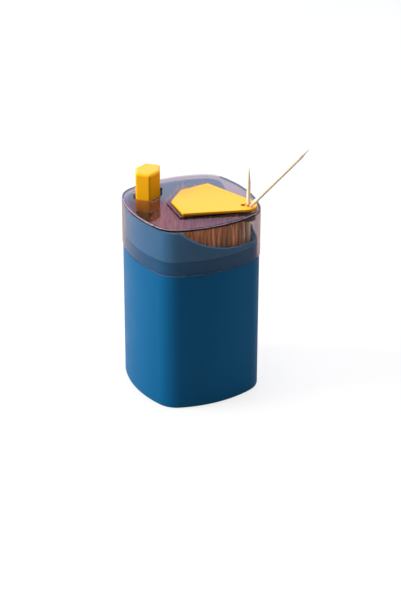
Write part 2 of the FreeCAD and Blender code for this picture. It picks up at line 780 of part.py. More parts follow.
def build_pivot_washers():
    """A washer on the pivot pin each side of the lever's hub."""
    body = new_body("pivot_washers")
    sketch = new_sketch(body, "ring", "XZ_Plane", "hub_half + washer_play")
    circle(sketch, number("washer_radius"), number("-pivot_reach"), number("pivot_height"))
    circle(sketch, total("pivot_radius", "fit_gap"), number("-pivot_reach"), number("pivot_height"))
    washer = pad(body, sketch, "washer_thick")
    mirrored(body, [washer])
    return body


def build_rocker_lever():
    """The see-saw lever, drawn level about its pivot and set down at its resting tilt."""
    body = new_body("rocker_lever")
    left_end = (-size("slot_far_left"), "-slot_far_left")
    right_end = number("slot_far_right")
    left = new_sketch(body, "left_arm", "XZ_Plane")
    capsule(left, (ZERO, ZERO), number("hub_radius"), (left_end, ZERO), number("fork_end"))
    pad(body, left, "2 * hub_half", both_ways=True)
    right = new_sketch(body, "right_arm", "XZ_Plane")
    capsule(right, (ZERO, ZERO), number("hub_radius"), (right_end, ZERO), number("blade_end"))
    pad(body, right, "2 * blade_half", both_ways=True)
    # the left end is a fork that straddles the push rod
    fork = new_sketch(body, "fork", "XY_Plane", "-hub_radius - " + over)
    inner = number("fork_inner")
    minus_inner = number("-fork_inner")
    far = (-size("slot_far_left") - size("fork_end") - OVERRUN, "-slot_far_left - fork_end - " + over)
    near = number("-fork_relief")
    polygon(fork, [(far, minus_inner), (near, minus_inner), (near, inner), (far, inner)])
    pocket(body, fork, "2 * hub_radius + 2 * " + over)
    # both faces of the right arm are relieved, which leaves a rim round a thin web
    relief = new_sketch(body, "relief", "XZ_Plane", "web_half")
    start = (size("hub_radius") + size("blade_end"), "hub_radius + blade_end")
    end = (size("slot_near_right") - 3 * size("blade_end"), "slot_near_right - 3 * blade_end")
    wide = total("blade_end", "-web_rim", "coil_wire")
    narrow = total("blade_end", "-web_rim")
    capsule(relief, (start, ZERO), wide, (end, ZERO), narrow)
    relief_cut = pocket(body, relief, "blade_half")
    mirrored(body, [relief_cut])
    slots = new_sketch(body, "left_slot", "XZ_Plane")
    half = number("slot_half")
    slot_a = (-size("slot_near_left"), "-slot_near_left")
    capsule(slots, (slot_a, ZERO), half, (left_end, ZERO), half)
    pocket(body, slots, "2 * hub_half + 2 * " + over, both_ways=True)
    slots = new_sketch(body, "right_slot", "XZ_Plane")
    capsule(slots, (number("slot_near_right"), ZERO), half, (right_end, ZERO), half)
    pocket(body, slots, "2 * hub_half + 2 * " + over, both_ways=True)
    bore = new_sketch(body, "bore", "XZ_Plane")
    circle(bore, total("pivot_radius", "fit_gap"), ZERO)
    pocket(body, bore, "2 * hub_half + 2 * " + over, both_ways=True)
    tilt = size("lever_tilt")
    body.Placement = FreeCAD.Placement(Vector(), FreeCAD.Rotation(Vector(0, 1, 0), tilt))
    bind(body, "Placement.Rotation.Angle", "lever_tilt")
    bind(body, "Placement.Base.x", "-pivot_reach")
    bind(body, "Placement.Base.z", "pivot_height")
    return body


def build_lifter():
    """The plunger that lifts one pick: a plain piston with a clevis for the lever's blade."""
    body = new_body("lifter")
    piston = new_sketch(body, "piston", offset="plunger_bottom")
    circle(piston, number("plunger_radius"), ZERO)
    pad(body, piston, "floor_height - plunger_bottom")
    dress(body, "Chamfer", "Size", "plunger_chamfer", level(size("plunger_bottom")))
    clevis = new_sketch(body, "clevis", offset="plunger_bottom - " + over)
    half = total("blade_half", "gap")
    minus = (-half[0], "-(blade_half + gap)")
    reach = (size("plunger_radius") + OVERRUN, "plunger_radius + " + over)
    back = (-reach[0], "-plunger_radius - " + over)
    polygon(clevis, [(back, minus), (reach, minus), (reach, half), (back, half)])
    pocket(body, clevis, "clevis_top - plunger_bottom + " + over)
    hole = new_sketch(body, "cross_hole", "XZ_Plane")
    circle(hole, total("link_radius", "fit_gap"), ZERO, number("lift_pin_height"))
    pocket(body, hole, "2 * plunger_radius + 2 * " + over, both_ways=True)
    bind(body, "Placement.Base.x", "outlet_reach")
    return body


def build_push_button():
    """The yellow six-sided button: a hollow moulding with a socket for the rod."""
    body = new_body("push_button")
    outline = new_sketch(body, "outline", offset="button_bottom")
    hexagon(outline, ZERO)
    pad(body, outline, "button_top - button_bottom")
    dress(body, "Fillet", "Radius", "button_round",
          lambda edge: edge.BoundBox.ZMax > size("button_bottom") + OVERRUN)
    hollow = new_sketch(body, "hollow", offset="button_bottom - " + over)
    hexagon(hollow, (-size("button_wall"), "-button_wall"))
    pocket(body, hollow, "button_top - button_bottom - button_crown + " + over)
    socket = new_sketch(body, "socket", offset="button_bottom")
    circle(socket, total("socket_radius", "socket_wall"), number("-rod_reach"))
    pad(body, socket, "button_top - button_bottom - button_crown / 2")
    bore = new_sketch(body, "bore", offset="button_bottom - " + over)
    circle(bore, number("socket_radius"), number("-rod_reach"))
    pocket(body, bore, "rod_top - button_bottom + fit_gap + " + over)
    return body


def build_lid():
    """The clear smoky lid: a thin wall over the neck, a flat roof and a seat for the outlet plate."""
    body = new_body("lid")
    outline = new_sketch(body, "outline", offset="lid_bottom")
    rounded_square(outline, (-size("lid_overhang"), "-lid_overhang"))
    pad(body, outline, "lid_top - lid_bottom")
    dress(body, "Fillet", "Radius", "lid_round", level(size("lid_top")))
    dress(body, "Chamfer", "Size", "lid_bevel", level(size("lid_bottom")))
    inside = new_sketch(body, "inside", offset="lid_bottom - " + over)
    rounded_square(inside, number("skirt_inset"))
    pocket(body, inside, "roof_under - lid_bottom + " + over)
    plinth = new_sketch(body, "plinth", offset="lid_top - plinth_rise")
    kite(plinth, number("plinth_margin"), total("plate_tip_radius", "-plinth_tip_step"))
    pad(body, plinth, "2 * plinth_rise")
    opening = new_sketch(body, "opening", offset="roof_under - " + over)
    hexagon(opening, number("opening_margin"))
    pocket(body, opening, "lid_roof + 2 * " + over)
    seat = new_sketch(body, "guide_seat", offset="roof_under - " + over)
    circle(seat, total("guide_radius", "fit_gap"), number("hole_centre_x"))
    pocket(body, seat, "plinth_top - roof_under + 2 * " + over)
    pegs = new_sketch(body, "peg_holes", offset="roof_under - " + over)
    for side in ("peg_y", "-peg_y"):
        circle(pegs, total("peg_radius", "fit_gap"), ZERO, number(side))
    pocket(body, pegs, "plinth_top - roof_under + 2 * " + over)
    return body


def hole_spots():
    """The places of the outlet holes, evenly round their circle."""
    count = int(round(size("hole_count")))
    spots = []
    for i in range(count):
        angle = math.radians(size("hole_turn") + 360.0 * i / count)
        turn = "(hole_turn + 360 * %d / hole_count)" % i
        x = (size("hole_centre_x") + size("hole_circle") * math.cos(angle),
             "hole_centre_x + hole_circle * cos(%s)" % turn)
        y = (size("hole_circle") * math.sin(angle), "hole_circle * sin(%s)" % turn)
        spots.append((x, y))
    return spots


def build_outlet_plate():
    """The yellow kite-shaped plate with the outlet holes in its tip and two locating pegs."""
    body = new_body("outlet_plate")
    outline = new_sketch(body, "outline", offset="plinth_top")
    kite(outline, ZERO, number("plate_tip_radius"))
    pad(body, outline, "plate_thick")
    dress(body, "Fillet", "Radius", "plate_round", level(size("plate_top")))
    pegs = new_sketch(body, "pegs", offset="roof_under")
    for side in ("peg_y", "-peg_y"):
        circle(pegs, number("peg_radius"), ZERO, number(side))
    pad(body, pegs, "plinth_top - roof_under + plate_thick / 2")
    holes = new_sketch(body, "holes", offset="plinth_top - " + over)
    for x, y in hole_spots():
        circle(holes, number("hole_radius"), x, y)
    pocket(body, holes, "plate_thick + 2 * " + over)
    return body


def build_outlet_guide():
    """The short funnel below the plate's tip that steers a rising pick to a hole."""
    body = new_body("outlet_guide")
    turned(body, [
        (number("guide_mouth"), total("plinth_top", "-guide_drop")),
        (number("guide_radius"), total("plinth_top", "-guide_drop")),
        (number("guide_radius"), number("plinth_top")),
        (number("guide_throat"), number("plinth_top")),
    ])
    bind(body, "Placement.Base.x", "hole_centre_x")
    return body


def toothpick(label):
    """A round pick with a long taper at both ends, drawn upright from the origin."""
    body = new_body(label)
    turned(body, [
        (ZERO, ZERO),
        (number("pick_tip"), ZERO),
        (number("pick_radius"), number("pick_taper")),
        (number("pick_radius"), total("pick_length", "-pick_taper")),
        (number("pick_tip"), number("pick_length")),
        (ZERO, number("pick_length")),
    ])
    return body


def build_toothpicks():
    """One pick waiting on the plunger and two that stand out of the outlet holes."""
    waiting, leaning, standing = hole_spots()
    queued = toothpick("queued_pick")
    bind(queued, "Placement.Base.x", waiting[0][1])
    bind(queued, "Placement.Base.y", waiting[1][1])
    bind(queued, "Placement.Base.z", "floor_height")
    upright = toothpick("upright_pick")
    bind(upright, "Placement.Base.x", standing[0][1])
    bind(upright, "Placement.Base.y", standing[1][1])
    bind(upright, "Placement.Base.z", "plate_top + pick_rise - pick_length")
    slanted = toothpick("leaning_pick")
    turn = FreeCAD.Rotation(size("lean_turn"), size("lean_tilt"), 0)
    slanted.Placement = FreeCAD.Placement(Vector(), turn)
    # the pick leans on the rim of its hole, so its axis stands off the hole's centre
    waist = "(pick_tip + (pick_radius - pick_tip) * lean_depth / pick_taper) / cos(lean_tilt)"
    lean_off = "(hole_radius - %s - gap / 2 - lean_depth * sin(lean_tilt))" % waist
    bind(slanted, "Placement.Base.x", "%s + %s * cos(lean_turn)" % (leaning[0][1], lean_off))
    bind(slanted, "Placement.Base.y", "%s + %s * sin(lean_turn)" % (leaning[1][1], lean_off))
    bind(slanted, "Placement.Base.z", "plate_top - lean_depth * cos(lean_tilt)")
    return [queued, upright, slanted]


def ring_of(sides, middle, first, second):
    """A closed even ring of straight edges about middle, in the plane of two square directions."""
    turns = [2 * math.pi * i / sides for i in range(sides)]
    corners = [middle + first * math.cos(turn) + second * math.sin(turn) for turn in turns]
    return Part.makePolygon(corners + corners[:1])


def within_plan(x, y, inset):
    """True where a point lies inside the rounded square drawn in by inset."""
    across, along = sorted((abs(x), abs(y)))
    offset = size("side_offset")
    centre = size("corner_centre")
    if (across + offset) * (centre + offset) < offset * (along + offset):
        return math.hypot(along - centre, across) < size("corner_round") - inset
    return math.hypot(along + offset, across + offset) < size("side_radius") - inset


def stock_spots():
    """Staggered places round the bundle's free middle, clear of walls, divider, well and guide."""
    reach = size("pick_radius") + size("gap")
    pitch = 2 * size("pick_radius") + size("stock_gap")
    row_pitch = pitch * math.sqrt(3) / 2
    back = size("divider_thick") / 2 - size("divider_reach") + reach
    tip = size("corner_centre") + size("corner_round")
    columns = math.ceil(tip / pitch)
    spots = []
    for row in range(math.ceil((tip - back) / row_pitch)):
        x = back + row * row_pitch
        for column in range(-columns, columns + 1):
            y = (column + row % 2 / 2) * pitch
            beside = x - reach > size("bundle_front") or abs(y) - reach > size("bundle_half")
            off_well = math.hypot(x - size("outlet_reach"), y) > size("plunger_bore") + reach
            off_guide = math.hypot(x - size("hole_centre_x"), y) > size("guide_radius") + reach
            if beside and off_well and off_guide and within_plan(x, y, size("hopper_inner") + reach):
                spots.append((x, y))
    return spots


def build_pick_stock():
    """Loose picks that line the bay's walls, each standing upright on the sloping floor."""
    length = size("pick_length")
    rings = []
    for height, radius in ((0, size("pick_tip")), (size("pick_taper"), size("pick_radius")),
                           (length - size("pick_taper"), size("pick_radius")), (length, size("pick_tip"))):
        rings.append(ring_of(PICK_SIDES, Vector(0, 0, height), Vector(radius, 0, 0), Vector(0, radius, 0)))
    pick = Part.makeLoft(rings, True, True)
    slope = math.tan(math.radians(size("floor_slope")))
    picks = []
    for x, y in stock_spots():
        foot = size("floor_height") + (size("outlet_reach") - x) * slope + size("fit_gap")
        picks.append(pick.translated(Vector(x, y, foot)))
    print("pick_stock has %d picks" % len(picks))
    feature = doc.addObject("Part::Feature", "pick_stock")
    feature.Label = "pick_stock"
    feature.Shape = Part.makeCompound(picks)
    return feature


def biarc(start, start_heading, end, end_heading):
    """Two tangent arcs from start to end with the given unit headings."""
    chord = end - start
    heading_sum = start_heading + end_heading
    spread = 2 * (1 - start_heading.dot(end_heading))
    along = chord.dot(heading_sum)
    reach = (math.sqrt(along * along + spread * chord.dot(chord)) - along) / spread
    first = start + start_heading * reach
    second = end - end_heading * reach
    middle = (first + second) * 0.5
    arcs = []
    for a, apex, b in ((start, first, middle), (middle, second, end)):
        half = (a + b) * 0.5
        turn = math.acos((b - a).Length / 2 / (apex - a).Length)
        crown = half + (apex - half) * (math.tan(turn / 2) / math.tan(turn))
        arcs.append(Part.Arc(a, crown, b).toShape())
    return arcs


# Each half turn of the spring is one biarc; its gap is sampled at this many points a turn.
ARCS_PER_TURN = 2
SAMPLES_PER_TURN = 64
# Wire and stock picks have few flat sides, which keeps what repeats light.
WIRE_SIDES = 8
PICK_SIDES = 6


def least_gap(spot, turns, wire_radius):
    """The least gap of a coil to itself, between points that lie about one turn apart."""
    near = range(SAMPLES_PER_TURN * 3 // 4, SAMPLES_PER_TURN * 5 // 4)
    last = int(SAMPLES_PER_TURN * turns)
    points = [spot(i / SAMPLES_PER_TURN) for i in range(last + 1)]
    apart = min((points[i] - points[i + ahead]).Length
                for i in range(last) for ahead in near if i + ahead <= last)
    return apart - 2 * wire_radius


def build_return_spring():
    """The compression spring below the rod's seat: one unbroken wire with flat end turns."""
    turns = size("coil_turns")
    flat_turns = size("coil_flat_turns")
    radius = size("coil_radius")
    wire_radius = size("coil_wire")
    low = size("cover_thick") + wire_radius + size("fit_gap")
    high = size("seat_bottom") - wire_radius - size("fit_gap")
    rise = (high - low) / (turns - 2 * flat_turns)

    def climb(turn):
        return min(max(turn - flat_turns, 0), turns - 2 * flat_turns)

    def spot(turn):
        angle = 2 * math.pi * turn
        return Vector(radius * math.cos(angle), radius * math.sin(angle), low + rise * climb(turn))

    def heading(turn):
        angle = 2 * math.pi * turn
        slope = rise / (2 * math.pi) if flat_turns < turn < turns - flat_turns else 0
        return Vector(-radius * math.sin(angle), radius * math.cos(angle), slope).normalize()

    edges = []
    for i in range(int(turns * ARCS_PER_TURN)):
        a = i / ARCS_PER_TURN
        b = (i + 1) / ARCS_PER_TURN
        edges += biarc(spot(a), heading(a), spot(b), heading(b))
    outward = Vector(1, 0, 0)
    upward = outward.cross(heading(0))
    ring = ring_of(WIRE_SIDES, spot(0), outward * wire_radius, upward * wire_radius)
    tube = Part.Wire(edges).makePipeShell([ring], True, False)
    print("return_spring least gap between turns %.2f mm" % least_gap(spot, turns, wire_radius))
    feature = doc.addObject("Part::Feature", "return_spring")
    feature.Label = "return_spring"
    feature.Shape = tube
    feature.Placement = FreeCAD.Placement(Vector(-size("rod_reach"), 0, 0), FreeCAD.Rotation())
    return feature


def build_all():
    pieces = [
        build_body_shell(),
        build_base_cover(),
        build_base_screws(),
        build_hopper(),
        build_push_rod(),
        build_rod_stop_clip(),
        build_pivot_washers(),
        build_rocker_lever(),
        build_lifter(),
        build_push_button(),
        build_lid(),
        build_outlet_plate(),
        build_outlet_guide(),
        build_return_spring(),
        build_pick_stock(),
    ]
    pieces += build_pins()
    pieces += build_toothpicks()
    return pieces


def check(pieces):
    """Stops before anything is written if an object failed or a shape is not sound."""
    doc.recompute()
    for item in doc.Objects:
        if "Invalid" in item.State or "Error" in item.State:
            raise RuntimeError("%s is in state %s" % (item.Name, item.State))
    for piece in pieces:
        if piece.Shape.isNull() or not piece.Shape.isValid():
            raise RuntimeError("shape of %s is not sound" % piece.Label)


def export(pieces):
    os.makedirs("parts", exist_ok=True)
    for piece in pieces:
        piece.Shape.exportStep("parts/%s.step" % piece.Label)
        box = piece.Shape.BoundBox
        print("%-16s solids %d volume %9.1f  z %6.2f to %6.2f" % (
            piece.Label, len(piece.Shape.Solids), piece.Shape.Volume, box.ZMin, box.ZMax))


all_pieces = build_all()
check(all_pieces)
export(all_pieces)
print("lever tilt %.3f deg, lift %.3f mm" % (size("lever_tilt"), size("lift")))
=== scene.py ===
import json
import math
import random

import bmesh
import bpy
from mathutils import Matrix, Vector


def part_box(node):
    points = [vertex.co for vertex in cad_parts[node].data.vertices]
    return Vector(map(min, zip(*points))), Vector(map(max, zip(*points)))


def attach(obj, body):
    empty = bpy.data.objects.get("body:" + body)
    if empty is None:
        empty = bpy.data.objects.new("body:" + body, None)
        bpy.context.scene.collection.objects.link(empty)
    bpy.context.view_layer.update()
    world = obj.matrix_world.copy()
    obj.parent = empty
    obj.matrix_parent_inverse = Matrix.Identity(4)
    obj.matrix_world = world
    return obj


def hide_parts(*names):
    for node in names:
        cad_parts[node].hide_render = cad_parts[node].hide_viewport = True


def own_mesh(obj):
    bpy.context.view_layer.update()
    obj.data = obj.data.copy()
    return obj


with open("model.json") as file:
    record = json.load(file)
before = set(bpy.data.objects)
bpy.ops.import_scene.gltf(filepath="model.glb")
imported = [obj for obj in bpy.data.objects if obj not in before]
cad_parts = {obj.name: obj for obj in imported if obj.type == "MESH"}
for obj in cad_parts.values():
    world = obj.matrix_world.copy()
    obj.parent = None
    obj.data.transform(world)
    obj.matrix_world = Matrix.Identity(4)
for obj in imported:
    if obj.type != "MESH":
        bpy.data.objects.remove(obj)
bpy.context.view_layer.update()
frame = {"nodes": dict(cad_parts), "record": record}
nodes = frame["nodes"]

MM = 0.001

# The camera, fitted to the outline of the object in the photograph
IMAGE_HEIGHT = 601
FOCAL_PX = 1800
OFF_CENTRE_PX = (9.72, -9.77)
VIEW_TURN = math.radians(18.12)
VIEW_RISE = math.radians(26.78)
VIEW_DISTANCE = 0.98788
VIEW_TARGET = Vector((0, 0, 0.05336))
SENSOR = 36


def make_camera():
    data = bpy.data.cameras.new("camera")
    data.sensor_fit = "VERTICAL"
    data.sensor_height = SENSOR
    data.lens = FOCAL_PX / IMAGE_HEIGHT * SENSOR
    data.shift_x = OFF_CENTRE_PX[0] / IMAGE_HEIGHT
    data.shift_y = OFF_CENTRE_PX[1] / IMAGE_HEIGHT
    data.clip_start = 0.01
    camera = bpy.data.objects.new("camera", data)
    bpy.context.scene.collection.objects.link(camera)
    flat = math.cos(VIEW_RISE)
    back = Vector((math.sin(VIEW_TURN) * flat, -math.cos(VIEW_TURN) * flat, math.sin(VIEW_RISE)))
    camera.location = VIEW_TARGET + back * VIEW_DISTANCE
    camera.rotation_euler = back.to_track_quat("Z", "Y").to_euler()
    bpy.context.scene.camera = camera


# Shader helpers

class Shader:
    """The nodes of a material or a world, with short calls for the kinds used here."""

    def __init__(self, owner, output="OutputMaterial"):
        self.owner = owner
        owner.use_nodes = True
        self.tree = owner.node_tree
        self.tree.nodes.clear()
        self.output = self.add(output)

    def add(self, kind, **settings):
        node = self.tree.nodes.new("ShaderNode" + kind)
        for key, setting in settings.items():
            if hasattr(node, key):
                setattr(node, key, setting)
            else:
                node.inputs[key.replace("_", " ")].default_value = setting
        return node

    def link(self, source, target):
        self.tree.links.new(source, target)

    def stretched(self, scale):
        """The object's own coordinates, scaled along each axis."""
        mapping = self.add("Mapping", Scale=scale)
        self.link(self.add("TexCoord").outputs["Object"], mapping.inputs["Vector"])
        return mapping.outputs["Vector"]

    def noise(self, scale, detail=2, roughness=0.5, vector=None):
        node = self.add("TexNoise", Scale=scale, Detail=detail, Roughness=roughness)
        self.link(vector or self.add("TexCoord").outputs["Object"], node.inputs["Vector"])
        return node.outputs["Fac"]

    def span(self, value, low, high, start=0.0, end=1.0):
        """The value's run from start to end turned into one from low to high."""
        node = self.add("MapRange", From_Min=start, From_Max=end, To_Min=low, To_Max=high)
        self.link(value, node.inputs["Value"])
        return node.outputs["Result"]

    def math(self, operation, *terms):
        """A sum on sockets and plain numbers."""
        node = self.add("Math", operation=operation)
        for term, socket in zip(terms, node.inputs):
            if isinstance(term, float):
                socket.default_value = term
            else:
                self.link(term, socket)
        return node.outputs["Value"]

    def blend(self, factor, first, second):
        """Two colours mixed."""
        node = self.add("Mix", data_type="RGBA")
        self.link(factor, node.inputs["Factor"])
        node.inputs["A"].default_value = (*first, 1)
        node.inputs["B"].default_value = (*second, 1)
        return node.outputs["Result"]

    def mix(self, factor, first, second):
        """Two surfaces mixed."""
        node = self.add("MixShader")
        for source, socket in zip((factor, first, second), node.inputs):
            self.link(source, socket)
        return node.outputs["Shader"]

    def bump(self, height, strength, distance):
        node = self.add("Bump", Strength=strength, Distance=distance)
        self.link(height, node.inputs["Height"])
        return node.outputs["Normal"]

    def finish(self, surface):
        self.link(surface, self.output.inputs["Surface"])
        return self.owner


def new_shader(name):
    return Shader(bpy.data.materials.new(name))


def moulded_plastic(name, deep, light, roughness, shine=0.5):
    """Injection-moulded plastic: faint flow mottling, a fine grain and uneven gloss."""
    shader = new_shader(name)
    flow = shader.noise(26, detail=4, roughness=0.55, vector=shader.stretched((1, 1, 0.35)))
    grain = shader.noise(2600, detail=2)
    handling = shader.noise(70, detail=6, roughness=0.7)
    body = shader.add("BsdfPrincipled", IOR=1.45, Specular_IOR_Level=shine)
    shader.link(shader.blend(shader.span(flow, 0, 1, 0.3, 0.7), deep, light), body.inputs["Base Color"])
    shader.link(shader.span(handling, roughness - 0.05, roughness + 0.09, 0.3, 0.75), body.inputs["Roughness"])
    shader.link(shader.bump(grain, 0.12, 0.00004), body.inputs["Normal"])
    return shader.finish(body.outputs["BSDF"])


def clear_plastic(name, tint, roughness, haze, dust, edge_highlight, smoke, density):
    """Clear smoky plastic: darker where it is thick, dusted on top, with a painted highlight in milky pink
    along its rounded edges.
    """
    shader = new_shader(name)
    wipes = shader.noise(90, detail=6, roughness=0.7, vector=shader.stretched((1, 3.5, 1)))
    body = shader.add("BsdfPrincipled", IOR=1.24, Transmission_Weight=1.0, Base_Color=(*tint, 1))
    shader.link(shader.span(wipes, roughness * 0.6, roughness * 2.2, 0.35, 0.75), body.inputs["Roughness"])
    # a milky pinkish diffuse, shown as dust on top and as the painted highlight on the rounded edges
    milky_dust_and_highlight = shader.add("BsdfDiffuse", Color=(0.76, 0.56, 0.72, 1))

    # dust lies where the surface faces up; the painted highlight lies on a rounded edge, which faces neither up
    # nor sideways
    facing = shader.add("SeparateXYZ")
    shader.link(shader.add("NewGeometry").outputs["Normal"], facing.inputs["Vector"])
    upward = shader.span(facing.outputs["Z"], haze, dust, 0.6, 0.95)
    tipped = shader.math("ABSOLUTE", facing.outputs["Z"])
    rise = shader.span(tipped, 0, 1, 0.15, 0.45)
    fall = shader.span(tipped, 1, 0, 0.75, 0.95)
    # painted highlight: the rounded edges made milky, more so where the wipes are
    edge_highlights = shader.span(wipes, 0.5 * edge_highlight, edge_highlight, 0.3, 0.7)
    highlighted_edges = shader.math("MULTIPLY", shader.math("MULTIPLY", rise, fall), edge_highlights)
    dust_and_highlight = shader.math("MAXIMUM", upward, highlighted_edges)
    hazed = shader.mix(dust_and_highlight, body.outputs["BSDF"], milky_dust_and_highlight.outputs["BSDF"])

    # light reaches what the lid covers
    passing = shader.add("BsdfTransparent", Color=(*[math.sqrt(c) for c in tint], 1))
    rays = shader.add("LightPath")
    surface = shader.mix(rays.outputs["Is Shadow Ray"], hazed, passing.outputs["BSDF"])
    inner = shader.add("VolumeAbsorption", Color=(*smoke, 1), Density=density)
    shader.link(inner.outputs["Volume"], shader.output.inputs["Volume"])
    return shader.finish(surface)


def metal(name, colour, roughness, along):
    """Drawn or turned steel with fine lines along one axis."""
    shader = new_shader(name)
    lines = shader.noise(900, detail=3, vector=shader.stretched(along))
    body = shader.add("BsdfPrincipled", Metallic=1.0, Base_Color=(*colour, 1))
    shader.link(shader.span(lines, roughness - 0.06, roughness + 0.12, 0.3, 0.7), body.inputs["Roughness"])
    shader.link(shader.bump(lines, 0.15, 0.00003), body.inputs["Normal"])
    return shader.finish(body.outputs["BSDF"])


def pick_wood(name, pale, dark, spread=(0.82, 1.08)):
    """Plain birch: long grain, and each pick lighter or darker within the spread."""
    shader = new_shader(name)
    grain = shader.noise(700, detail=5, roughness=0.65, vector=shader.stretched((1, 1, 0.04)))
    fibre = shader.noise(2500, detail=2, vector=shader.stretched((1, 1, 0.08)))
    island = shader.add("NewGeometry").outputs["Random Per Island"]
    body = shader.add("BsdfPrincipled", IOR=1.45, Subsurface_Weight=0.12,
                      Subsurface_Radius=(0.0012, 0.0007, 0.0003))
    shade = shader.add("HueSaturation")
    shader.link(shader.span(island, *spread), shade.inputs["Value"])
    shader.link(shader.blend(shader.span(grain, 0, 1, 0.32, 0.7), pale, dark), shade.inputs["Color"])
    shader.link(shade.outputs["Color"], body.inputs["Base Color"])
    shader.link(shader.span(grain, 0.5, 0.72, 0.3, 0.7), body.inputs["Roughness"])
    shader.link(shader.bump(fibre, 0.35, 0.00006), body.inputs["Normal"])
    return shader.finish(body.outputs["BSDF"])


MATERIALS = {
    "blue_plastic": moulded_plastic("blue_moulded", (0.0025, 0.1, 0.238), (0.003, 0.112, 0.264), 0.36,
                                    shine=0.1),
    "yellow_plastic": moulded_plastic("yellow_moulded", (0.95, 0.43, 0.006), (0.96, 0.45, 0.009), 0.36,
                                      shine=0.1),
    "dark_plastic": moulded_plastic("dark_moulded", (0.04, 0.04, 0.03), (0.05, 0.05, 0.04), 0.35),
    "natural_plastic": moulded_plastic("natural_moulded", (0.70, 0.70, 0.65), (0.78, 0.78, 0.74), 0.42),
    # the smoky lid, its rounded edges carrying a painted highlight at half strength
    "clear_plastic": clear_plastic("smoky_clear", (0.97, 0.97, 0.97), roughness=0.03, haze=0.001, dust=0.01,
                                   edge_highlight=0.5, smoke=(0.66, 0.50, 0.49), density=700),
    "steel": metal("turned_steel", (0.62, 0.63, 0.65), 0.22, (1, 1, 0.05)),
    "spring_steel": metal("spring_wire", (0.40, 0.41, 0.43), 0.28, (1, 1, 1)),
    "pick_wood": pick_wood("birch", (0.90, 0.80, 0.62), (0.80, 0.64, 0.42)),
}

# The hopper's blue is painted lighter and hazier than the body's: a painted reflection standing in for the
# lid's gloss over the collar where it shows through the lid
COLLAR_BLUE_PAINTED_REFLECTION = moulded_plastic("collar_blue_painted_reflection", (0.03, 0.175, 0.35), (0.035, 0.19, 0.38), 0.5, shine=0.1)

# The standing stock's wood is painted darker and browner than the picks in the outlet: painted shade for the
# shadow and warm inter-reflection among the stacked picks under the lid
STOCK_WOOD_PAINTED_SHADE = pick_wood("stock_birch_painted_shade", (0.66, 0.38, 0.18), (0.44, 0.21, 0.08), spread=(0.65, 1.4))


def dress_cad_nodes():
    """Every CAD node gets the finish of its slot in the record."""
    for part in frame["record"]["subparts"]:
        node = nodes[part["node"]]
        node.data.materials.clear()
        node.data.materials.append(MATERIALS[part["material_slot"]])


def new_piece(name, data):
    piece = bpy.data.objects.new(name, data)
    bpy.context.scene.collection.objects.link(piece)
    return piece


# The collar's dip, a circle seen from the side: its middle's x and z and its radius, as packed and as seen
PACKED_DIP = (34 * MM, 142.1 * MM, 50 * MM)
SEEN_DIP = (38.5 * MM, 135 * MM, 45 * MM)
ON_EDGE = 0.03 * MM


def refit_collar():
    """The hopper with the edge of its collar's dip moved to the photographed line, its shape otherwise
    unchanged, in the lighter blue with the painted reflection.
    """
    data = nodes["hopper"].data.copy()
    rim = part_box("hopper")[1].z
    x, z, radius = PACKED_DIP
    seen_x, seen_z, seen_radius = SEEN_DIP
    for vertex in data.vertices:
        spot = vertex.co
        if abs(math.hypot(spot.x - x, spot.z - z) - radius) > ON_EDGE or spot.z > z:
            continue
        spot.z = min(rim, seen_z - math.sqrt(seen_radius ** 2 - min(seen_radius, abs(spot.x - seen_x)) ** 2))
    # the lighter blue: painted reflection of the lid over the collar
    data.materials.clear()
    data.materials.append(COLLAR_BLUE_PAINTED_REFLECTION)
    piece = new_piece("hopper_refit", data)
    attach(piece, "housing")
    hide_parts("hopper")


# The button's six-sided plan, as half widths, and the radius of its outer edges, as packed and as seen
BUTTON_TIP = 7.05 * MM
BUTTON_FLAT = (4.05 * MM, 8.2 * MM)
PACKED_ROUND = 0.5 * MM
SEEN_ROUND = 1.4 * MM


def round_centres(radius):
    """The middles of the plan's corner arcs of one radius, seen from the button's axis."""
    flat, side = BUTTON_FLAT
    plan = [Vector(p) for p in ((BUTTON_TIP, 0), (flat, side), (-flat, side), (-BUTTON_TIP, 0),
                                (-flat, -side), (flat, -side))]
    centres = []
    for i, corner in enumerate(plan):
        before = (corner - plan[i - 1]).normalized()
        after = (plan[(i + 1) % len(plan)] - corner).normalized()
        outward = Vector((before.y, -before.x)) + Vector((after.y, -after.x))
        centres.append(corner - outward * radius / (1 + before.dot(after)))
    return centres


def round_button():
    """The button with its outer edges rounder, as photographed: each point keeps its normal."""
    data = nodes["push_button"].data.copy()
    low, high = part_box("push_button")
    axis = ((low + high) / 2).to_2d()
    pairs = list(zip(round_centres(PACKED_ROUND), round_centres(SEEN_ROUND)))
    for vertex in data.vertices:
        spot = vertex.co
        topped = spot.z > high.z - PACKED_ROUND - ON_EDGE
        level = high.z - PACKED_ROUND if topped else spot.z
        packed, seen = min(pairs, key=lambda pair: (axis + pair[0] - spot.to_2d()).length)
        arm = spot - Vector((*(axis + packed), level))
        if abs(arm.length - PACKED_ROUND) < ON_EDGE:
            seen_level = high.z - SEEN_ROUND if topped else spot.z
            vertex.co = Vector((*(axis + seen), seen_level)) + arm * (SEEN_ROUND / PACKED_ROUND)
    piece = new_piece("button_rounded", data)
    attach(piece, "button")
    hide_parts("push_button")


def make_spring():
    """The return spring as a copy with a mesh of its own, attached to the housing, its foot staying on the base
    cover.
    """
    piece = new_piece("return_coil", nodes["return_spring"].data.copy())
    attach(piece, "housing")
    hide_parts("return_spring")
    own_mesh(piece)


# The bay's shape, worked out from the hopper's plan: a rounded square with bowed sides
HALF_WIDTH = 34 * MM
CORNER_CENTRE = 24.4 * MM
CORNER_ROUND = 13.7 * MM
BAY_INSET = 4.0 * MM
FLOOR_HEIGHT = 37 * MM
FLOOR_SLOPE = math.radians(4)
OUTLET_X = 30.2 * MM

